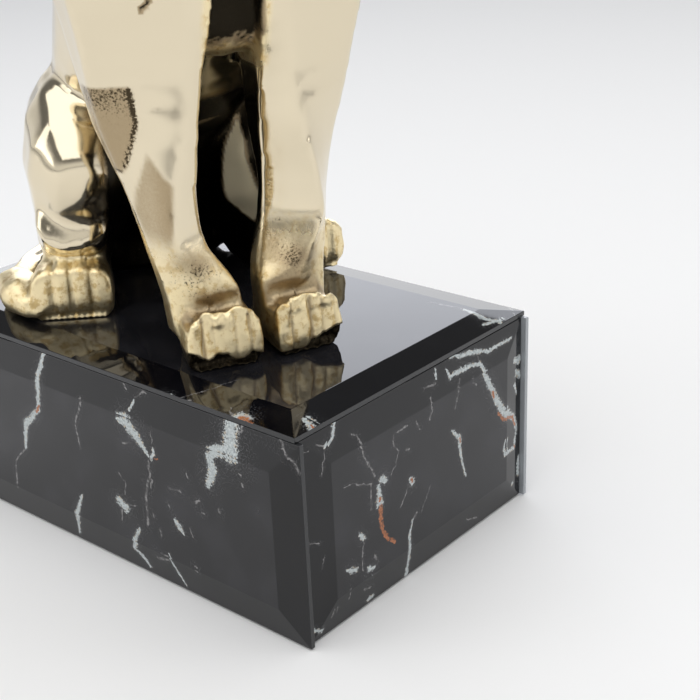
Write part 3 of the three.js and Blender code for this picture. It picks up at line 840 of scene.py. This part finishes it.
# %% Veins of the long face
LONG_WHITE = [
    [(-102.8, 103.5, 2.2), (-103.8, 97.8, 3.4), (-103.6, 92.9, 3.3), (-103.3, 86.8, 3.5),
     (-106.0, 85.0, 1.8)],
    [(-101.0, 86.0, 1.8), (-95.1, 84.2, 1.5), (-90.7, 81.8, 1.6)],
    [(-90.6, 80.8, 1.6), (-92.0, 75.4, 2.2), (-89.8, 69.6, 1.9), (-88.3, 66.2, 1.2)],
    [(-31.4, 82.3, 1.4), (-36.2, 82.0, 2.2), (-42.1, 77.0, 2.3), (-46.0, 72.6, 1.4), (-49.5, 68.9, 0.5)],
    [(-53.3, 73.9, 0.6), (-53.2, 70.9, 0.8), (-51.1, 68.0, 0.8)],
    [(-37.0, 25.5, 0.8), (-33.1, 19.8, 1.0), (-30.5, 14.6, 1.0), (-33.3, 13.3, 0.9), (-37.1, 10.4, 1.1),
     (-39.4, 6.8, 0.8)],
    [(-63.7, 40.4, 0.8), (-66.1, 37.2, 1.4), (-68.8, 33.7, 0.4)],
    [(-56.6, 19.1, 0.4), (-60.0, 13.0, 0.7), (-64.0, 5.7, 0.5)],
    [(-24.3, 37.1, 1.8), (-28.2, 34.7, 2.2)],
    [(-39.0, 87.0, 0.5), (-41.6, 92.4, 0.4)],
]
LONG_HAIRLINES = [
    [(-126.2, 100.9, 1.8), (-129.5, 100.3, 1.8)],
    [(-129.5, 99.5, 0.9), (-133.1, 92.4, 0.7), (-137.7, 90.7, 0.8), (-139.7, 85.8, 0.6)],
    [(-48.8, 66.0, 0.8), (-49.2, 59.1, 0.8), (-46.3, 52.8, 0.9), (-44.4, 45.0, 0.8), (-44.2, 37.7, 0.9),
     (-43.0, 29.7, 0.8)],
    [(-50.0, 56.7, 0.6), (-48.7, 51.8, 0.6)],
    [(-25.4, 32.6, 0.6), (-24.3, 26.1, 0.4)],
    [(-29.7, 36.8, 0.5), (-36.0, 38.0, 0.3)],
    [(-74.5, 67.7, 0.6), (-75.4, 65.8, 0.6)],
    [(-61.3, 56.0, 0.5), (-66.5, 57.0, 0.6), (-69.5, 56.5, 0.7)],
    [(-78.8, 54.4, 0.8), (-81.2, 56.1, 0.7)],
    [(-82.2, 50.3, 0.7), (-83.8, 50.5, 0.6)],
    [(-94.0, 55.7, 0.7), (-94.6, 54.2, 0.6)],
    [(-108.8, 78.3, 0.6), (-109.5, 78.0, 0.6)],
    [(-109.7, 74.0, 0.7), (-110.3, 72.6, 0.6)],
    [(-60.4, 46.8, 0.6), (-60.5, 45.8, 0.6)],
    [(-48.4, 37.7, 0.6), (-48.5, 36.4, 0.6)],
    [(-47.5, 15.7, 0.9), (-55.4, 17.3, 0.5)],
    [(-73.9, 18.7, 0.7), (-75.2, 18.3, 0.7)],
    [(-73.0, 38.8, 0.4), (-74.8, 34.9, 0.5)],
    [(-52.1, 31.3, 0.4), (-52.4, 27.7, 0.5)],
    [(-53.1, 82.1, 0.3), (-52.7, 76.8, 0.3)],
    [(-31.6, 70.4, 0.6), (-35.3, 71.1, 0.5)],
    [(-26.3, 52.6, 0.4), (-30.3, 49.4, 0.3), (-29.3, 41.8, 0.3)],
    [(-42.3, 93.5, 0.4), (-48.2, 98.0, 0.5), (-49.7, 97.2, 0.4)],
    [(-34.4, 98.1, 0.5), (-36.4, 96.1, 0.5)],
    [(-107.1, 95.6, 0.6), (-109.6, 95.9, 0.7), (-110.5, 99.8, 0.6)],
]
LONG_RUST = [[(-54.0, 68.5, 0.5), (-55.8, 68.9, 0.5)]]
print("long face, front half:", len(LONG_WHITE), "bold lines and", len(LONG_HAIRLINES), "hairlines")

# %% [markdown]
# The photograph stops short of the long face's rear half, so this half is drawn in keeping.

# %% Veins of the long face's rear half
LONG_WHITE += [
    [(22, 103, 0.8), (28, 88, 1.4), (31, 70, 1.0), (44, 58, 1.6), (47, 44, 0.7)],
    [(84, 97, 1.8), (88, 84, 2.6), (98, 76, 1.2)],
    [(112, 36, 0.6), (119, 22, 1.4), (117, 9, 0.7)],
    [(5, 30, 0.5), (11, 18, 1.2), (14, 6, 0.5)],
]
LONG_HAIRLINES += [
    [(47, 44, 0.6), (58, 33, 0.5), (60, 18, 0.5)],
    [(98, 76, 0.6), (104, 60, 0.5), (101, 48, 0.6), (112, 36, 0.5)],
    [(70, 66, 0.6), (76, 55, 0.5), (74, 40, 0.4)],
    [(-4, 84, 0.5), (3, 70, 0.6), (1, 58, 0.4)],
    [(128, 92, 0.6), (134, 80, 0.5)],
]
LONG_RUST += [[(88, 82, 1.0), (92, 79, 1.0)], [(30, 72, 0.7), (33, 68, 0.8)]]
print("long face in all:", len(LONG_WHITE), "bold lines and", len(LONG_HAIRLINES), "hairlines")

# %% [markdown]
# The slab is nearly black where the lion stands, and its veins keep to the edges. Here the second
# number is the place along the plinth.

# %% Veins of the slab
SLAB_WHITE = [
    [(-84.6, -106.4, 1.6), (-81.4, -107.6, 2.4), (-81.0, -111.6, 1.6)],
    [(-86.0, -61.5, 1.2), (-85.0, -60.7, 1.0)],
    [(-83.9, -66.0, 0.9), (-84.7, -68.0, 0.8)],
    [(-68.8, -130.9, 1.0), (-71.1, -136.5, 1.5), (-73.6, -139.9, 1.0)],
    [(64.5, -118.5, 0.8), (62.8, -128.8, 1.3), (64.6, -134.0, 1.0)],
    [(57.0, -132.8, 0.8), (67.0, -134.9, 1.2), (64.1, -139.9, 0.8)],
]
SLAB_HAIRLINES = [
    [(-82.2, -77.6, 0.6), (-82.3, -78.3, 0.6)],
    [(-84.0, -89.3, 0.6), (-85.4, -94.3, 0.6)],
    [(-83.0, -104.3, 0.5), (-78.6, -98.9, 0.4)],
    [(-84.9, -114.1, 0.5), (-84.4, -117.5, 0.4)],
    [(81.4, -130.3, 0.5), (73.8, -139.9, 0.5)],
    [(62.6, -97.2, 0.4), (65.7, -117.7, 0.5)],
    [(-83.0, -73.0, 0.3), (-70.5, -81.0, 0.3), (-61.0, -84.5, 0.25)],
    [(34, 96, 0.6), (48, 108, 0.7), (52, 128, 0.5)],
    [(70, 10, 0.5), (62, 34, 0.6), (66, 52, 0.4)],
]
SLAB_RUST = [[(-82.6, -109.6, 2.6), (-84.6, -113.4, 2.8)], [(-70.4, -135.6, 0.6), (-71.2, -137.4, 0.6)]]
print("slab:", len(SLAB_WHITE), "bold lines and", len(SLAB_HAIRLINES), "hairlines")

# %% [markdown]
# The print is flattened to each face: Object coordinates give two places in millimetres, and a soft
# noise wanders them so that no vein is straight. Glass bends what lies behind a bevel, so there
# the print is shifted outwards a little.

# %% The place on a face
BEVEL_WIDTH = 16.0
BEVEL_DROP = 2.6
PRINT_SHIFT = 2.2


def face_place(tree, node, axes, mirror):
    """Two coordinates on a face in millimetres with the print's shift, and 1 behind the bevels."""
    low, high = (np.array(corner, float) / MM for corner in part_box(node))
    split = add_node(tree, "ShaderNodeSeparateXYZ")
    tree.links.new(object_place(tree), split.inputs[0])
    flat, under = [], []
    for axis, sign in zip(axes, (mirror, 1)):
        half = (high[axis] - low[axis]) / 2
        centre = sign * (high[axis] + low[axis]) / 2
        value = maths(tree, "MULTIPLY", split.outputs[axis], sign / MM)
        from_middle = maths(tree, "SUBTRACT", value, centre)
        behind = maths(tree, "GREATER_THAN", maths(tree, "ABSOLUTE", from_middle), half - BEVEL_WIDTH)
        inwards = maths(tree, "MULTIPLY", behind, -PRINT_SHIFT)
        shift = maths(tree, "MULTIPLY", maths(tree, "SIGN", from_middle), inwards)
        flat.append(maths(tree, "ADD", value, shift))
        under.append(behind)
    joined = add_node(tree, "ShaderNodeCombineXYZ")
    tree.links.new(flat[0], joined.inputs[0])
    tree.links.new(flat[1], joined.inputs[1])
    return joined.outputs[0], maths(tree, "MAXIMUM", *under)


def wandered(tree, place, size, amount):
    wave = add_node(tree, "ShaderNodeTexNoise", {"Scale": 1.0 / size, "Detail": 2.0})
    tree.links.new(place, wave.inputs["Vector"])
    centred = add_node(tree, "ShaderNodeVectorMath", {1: (-0.5, -0.5, -0.5)}, operation="ADD")
    tree.links.new(wave.outputs["Color"], centred.inputs[0])
    scaled = add_node(tree, "ShaderNodeVectorMath", {1: (amount, amount, 0.0)}, operation="MULTIPLY")
    tree.links.new(centred.outputs[0], scaled.inputs[0])
    moved = add_node(tree, "ShaderNodeVectorMath", operation="ADD")
    tree.links.new(place, moved.inputs[0])
    tree.links.new(scaled.outputs[0], moved.inputs[1])
    return moved.outputs[0]


print("bevels are", BEVEL_WIDTH, "mm wide and fall", BEVEL_DROP, "mm")

# %% [markdown]
# The stone is built up in layers: cloudy black, hairlines, dust near the veins, white veins with cream
# borders, and rust. A rough grain added to each stroke's depth breaks its edge into specks, and
# a slower noise leaves gaps, so that no layer looks painted.

# %% Layers of the marble
STONE_DARK = (0.010, 0.010, 0.012, 1)
STONE_PALE = (0.021, 0.021, 0.025, 1)
BEHIND_BEVEL = (0.001, 0.001, 0.002, 1)
HAIRLINE = (0.34, 0.33, 0.33, 1)
DUST = (0.32, 0.32, 0.33, 1)
VEIN_HALO = (0.30, 0.32, 0.34, 1)
VEIN_BLUE = (0.30, 0.34, 0.35, 1)
VEIN_WHITE = (0.58, 0.62, 0.62, 1)
VEIN_CREAM = (0.52, 0.42, 0.29, 1)
RUST_DARK = (0.24, 0.075, 0.025, 1)
RUST_PALE = (0.46, 0.17, 0.07, 1)


def dark_stone(tree, place, bevel):
    clouds = ranged(tree, noise_at(tree, place, 0.035, detail=5.0), 0.42, 0.72)
    stone = mixed(tree, clouds, STONE_DARK, STONE_PALE)
    return mixed(tree, maths(tree, "MULTIPLY", bevel, 0.85), stone, BEHIND_BEVEL)


def with_hairlines(tree, base, place, loose, thin):
    hair = ranged(tree, maths(tree, "MULTIPLY_ADD", loose, 1.6, thin), -0.1, 0.5)
    worn = ranged(tree, noise_at(tree, place, 0.33, detail=3.0), 0.40, 0.60, 0.10, 0.60)
    return mixed(tree, maths(tree, "MULTIPLY", hair, worn), base, HAIRLINE)


def with_dust(tree, base, place, thick, thin):
    specks = ranged(tree, noise_at(tree, place, 1.1, detail=6.0, roughness=0.8), 0.545, 0.62)
    near_bold = ranged(tree, thick, -5.0, -0.5, 0.0, 0.45)
    near_thin = ranged(tree, thin, -6.0, -1.0, 0.0, 0.25)
    dust = maths(tree, "MULTIPLY", specks, maths(tree, "MAXIMUM", near_bold, near_thin))
    return mixed(tree, dust, base, DUST)


def with_white_veins(tree, base, place, grain, loose, thick, solid):
    bold = maths(tree, "MULTIPLY_ADD", loose, 2.3, thick)
    base = mixed(tree, ranged(tree, bold, -1.2, -0.2, 0.0, 0.10), base, VEIN_HALO)
    tint = mixed(tree, ranged(tree, grain, 0.35, 0.65), VEIN_BLUE, VEIN_WHITE)
    patches = ranged(tree, noise_at(tree, place, 0.5, detail=4.0), 0.50, 0.62)
    cream = maths(tree, "MULTIPLY", patches, ranged(tree, thick, 0.6, -0.2))
    tint = mixed(tree, cream, tint, VEIN_CREAM)
    return mixed(tree, maths(tree, "MULTIPLY", ranged(tree, bold, -0.35, 0.05), solid), base, tint)


def with_rust(tree, base, grain, loose, lines, solid):
    iron = ranged(tree, maths(tree, "MULTIPLY_ADD", loose, 1.6, lines), -0.1, 0.35)
    stain = mixed(tree, ranged(tree, grain, 0.4, 0.62), RUST_DARK, RUST_PALE)
    return mixed(tree, maths(tree, "MULTIPLY", iron, solid), base, stain)


print("vein colours:", VEIN_BLUE[:3], VEIN_WHITE[:3], VEIN_CREAM[:3])

# %% [markdown]
# One function joins the layers to a glossy black material, whose gloss is the glass in front of the
# print. The opposite faces share their strokes, mirrored, so the plinth looks cut from one block.

# %% Marble behind glass


def marble_material(name, strokes, node, axes, mirror):
    white, hairlines, rust = strokes
    material, tree, shader = new_material(name, Roughness=0.025, IOR=1.47)
    place, bevel = face_place(tree, node, axes, mirror)
    crooked = wandered(tree, wandered(tree, wandered(tree, place, 5.0, 2.2), 1.5, 1.5), 0.5, 0.6)
    thick = stroke_field(tree, crooked, white)
    thin = stroke_field(tree, crooked, hairlines)
    grain = noise_at(tree, place, 0.9, detail=6.0, roughness=0.75)
    loose = maths(tree, "MULTIPLY_ADD", grain, 2.0, -1.0)
    solid = ranged(tree, noise_at(tree, crooked, 0.6, detail=5.0, roughness=0.7), 0.34, 0.47)
    solid = maths(tree, "MAXIMUM", solid, ranged(tree, thick, 0.3, 0.8))
    base = dark_stone(tree, place, bevel)
    base = with_hairlines(tree, base, place, loose, thin)
    base = with_dust(tree, base, place, thick, thin)
    base = with_white_veins(tree, base, place, grain, loose, thick, solid)
    base = with_rust(tree, base, grain, loose, stroke_field(tree, crooked, rust), solid)
    tree.links.new(base, shader.inputs["Base Color"])
    return material


SHORT = (SHORT_WHITE, SHORT_HAIRLINES, SHORT_RUST)
LONG = (LONG_WHITE, LONG_HAIRLINES, LONG_RUST)
SLAB = (SLAB_WHITE, SLAB_HAIRLINES, SLAB_RUST)
# Each face's material, strokes, its two axes, and whether the first is mirrored
PRINTS = {
    "plinth_panel_front": ("marble_front", SHORT, (0, 2), 1),
    "plinth_panel_back": ("marble_back", SHORT, (0, 2), -1),
    "plinth_panel_left": ("marble_left", LONG, (1, 2), 1),
    "plinth_panel_right": ("marble_right", LONG, (1, 2), -1),
    "plinth_top": ("marble_slab", SLAB, (0, 1), 1),
}
MARBLES = {}
for node, (name, strokes, axes, mirror) in PRINTS.items():
    MARBLES[node] = marble_material(name, strokes, node, axes, mirror)
print("marble materials:", ", ".join(MARBLES))

# %% [markdown]
# Each panel is a block whose polished face is inset, and whose rim is then pushed back, as a grinder
# does it. All edges get a small rounded arris, which is what catches the light on real glass.
# The edges are dark where the print runs round them, and pale on the panel whose bare glass shows.

# %% Glass panels
ARRIS = 0.25 * MM
OUTWARDS = {
    "plinth_top": Vector((0, 0, 1)),
    "plinth_panel_front": Vector((0, -1, 0)),
    "plinth_panel_back": Vector((0, 1, 0)),
    "plinth_panel_left": Vector((-1, 0, 0)),
    "plinth_panel_right": Vector((1, 0, 0)),
}
GROUND_GLASS = {"Roughness": 0.15, "IOR": 1.52}
dark_edge = new_material("dark_glass_edge", Base_Color=(0.02, 0.021, 0.023, 1), **GROUND_GLASS)[0]
pale_edge = new_material("pale_glass_edge", Base_Color=(0.33, 0.35, 0.37, 1), **GROUND_GLASS)[0]


def bevelled_panel(node, outward):
    low, high = (Vector(corner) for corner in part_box(node))
    bm = bmesh.new()
    bmesh.ops.create_cube(bm, size=1.0)
    bmesh.ops.scale(bm, vec=high - low, verts=bm.verts)
    bmesh.ops.translate(bm, vec=(low + high) / 2, verts=bm.verts)
    bm.normal_update()
    face = max(bm.faces, key=lambda f: f.normal.dot(outward))
    ring = bmesh.ops.inset_region(bm, faces=[face], thickness=BEVEL_WIDTH * MM, use_even_offset=True)["faces"]
    rim = {vert for bevel in ring for vert in bevel.verts} - set(face.verts)
    bmesh.ops.translate(bm, vec=-outward * BEVEL_DROP * MM, verts=list(rim))
    bmesh.ops.bevel(bm, geom=bm.edges[:], offset=ARRIS, affect="EDGES", segments=2, profile=0.5, material=-1)
    bm.normal_update()
    for polygon in bm.faces:
        polygon.material_index = 0 if polygon.normal.dot(outward) > 0.6 else 1
    mesh = bpy.data.meshes.new(node + "_glass")
    bm.to_mesh(mesh)
    bm.free()
    piece = bpy.data.objects.new(node + "_glass", mesh)
    bpy.context.scene.collection.objects.link(piece)
    mesh.materials.append(MARBLES[node])
    mesh.materials.append(pale_edge if node == "plinth_panel_right" else dark_edge)
    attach(piece, "root")
    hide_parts(node)
    return piece


for node, outward in OUTWARDS.items():
    piece = bevelled_panel(node, outward)
    print(piece.name, "has", len(piece.data.polygons), "faces")

# %% [markdown]
# Felt covers the board under the plinth, so that it can't scratch a table. The board shows only as a
# thin dark edge, so it keeps its solid, with a rough black material.

# %% Base board
felt = new_material("felt", Base_Color=(0.012, 0.012, 0.013, 1), Roughness=0.95)[0]
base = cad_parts["plinth_base"]
base.data.materials.clear()
base.data.materials.append(felt)
print("felt covers", base.name)

# %% [markdown]
# The studio has a pale floor and soft panels. A wide one overhead lights the floor evenly, and two
# far behind are what the black slab and its bevels mirror towards the camera. The floor is matt, with
# no shine of its own, because a mirrored horizon would show on it.

# %% Floor
FLOOR_HALF = 14.0


def stage_sheet(name, corners, material):
    mesh = bpy.data.meshes.new(name)
    bm = bmesh.new()
    bm.faces.new([bm.verts.new(corner) for corner in corners])
    bm.to_mesh(mesh)
    bm.free()
    sheet = bpy.data.objects.new(name, mesh)
    bpy.context.scene.collection.objects.link(sheet)
    mesh.materials.append(material)
    return sheet


pale, tree, shader = new_material("pale_floor", Base_Color=(0.88, 0.88, 0.88, 1), Roughness=0.7)
shader.inputs["Specular IOR Level"].default_value = 0.0
FLOOR_CORNERS = [(a * FLOOR_HALF, b * FLOOR_HALF, 0) for a, b in ((-1, -1), (1, -1), (1, 1), (-1, 1))]
stage_sheet("floor", FLOOR_CORNERS, pale)
print("floor reaches", FLOOR_HALF, "m each way")

# %% [markdown]
# Each light is a panel that the metal and the glass can mirror, but that the camera doesn't see.
# Their places are given from the camera's heading, so that they stay behind, left and right in the picture.

# %% Soft lights


def soft_light(name, place, aim, size, radiance, colour=(1, 1, 1)):
    """A panel whose brightness is given as radiance, so its size can change freely."""
    data = bpy.data.lights.new(name, "AREA")
    data.shape = "RECTANGLE"
    data.size, data.size_y = size
    data.energy = radiance * math.pi * size[0] * size[1]
    data.color = colour
    light = bpy.data.objects.new(name, data)
    direction = Vector(aim) - Vector(place)
    light.rotation_euler = direction.to_track_quat("-Z", "Y").to_euler()
    light.location = place
    light.visible_camera = False
    bpy.context.scene.collection.objects.link(light)
    return light


ahead = Vector((math.cos(HEADING), math.sin(HEADING), 0))
side = Vector((math.sin(HEADING), -math.cos(HEADING), 0))
up = Vector((0, 0, 1))
soft_light("overhead_panel", up * 2.6 - ahead * 1.0, -ahead * 0.7, (4.8, 4.8), 1.5)
far = ahead * 10.0 + side * 1.2
soft_light("back_panel", far + up * 4.1, (0, 0, 0.1), (12.0, 3.8), 2.8, (0.95, 0.98, 1.06))
soft_light("low_back_panel", far + up * 1.2, (0, 0, 0.1), (12.0, 1.9), 1.15, (0.97, 0.99, 1.03))
soft_light("left_panel", -side * 1.7 - ahead * 0.3 + up * 1.0, (0, 0, 0.25), (0.9, 1.3), 1.4)
soft_light("right_panel", side * 1.9 - ahead * 0.2 + up * 0.9, (0, 0, 0.25), (0.7, 1.3), 1.0)
print("lights:", len(bpy.data.lights))

# %% [markdown]
# The surround lights what the panels leave. It is seen in the metal, so it is no plain grey.
# It is pale up to a little above the horizon and dims soon above that, because polished metal needs
# something dark to mirror too.

# %% Surround


def studio_surround():
    world = bpy.data.worlds.new("pale_studio")
    bpy.context.scene.world = world
    world.use_nodes = True
    tree = world.node_tree
    background = tree.nodes["Background"]
    split = add_node(tree, "ShaderNodeSeparateXYZ")
    tree.links.new(add_node(tree, "ShaderNodeTexCoord").outputs["Generated"], split.inputs[0])
    height = split.outputs["Z"]
    level = ranged(tree, height, 0.12, 0.45, 0.80, 0.16)
    tree.links.new(level, background.inputs["Strength"])
    background.inputs["Color"].default_value = (1, 1, 1, 1)


studio_surround()
bpy.context.scene.view_settings.view_transform = "Standard"
print("view transform:", bpy.context.scene.view_settings.view_transform)
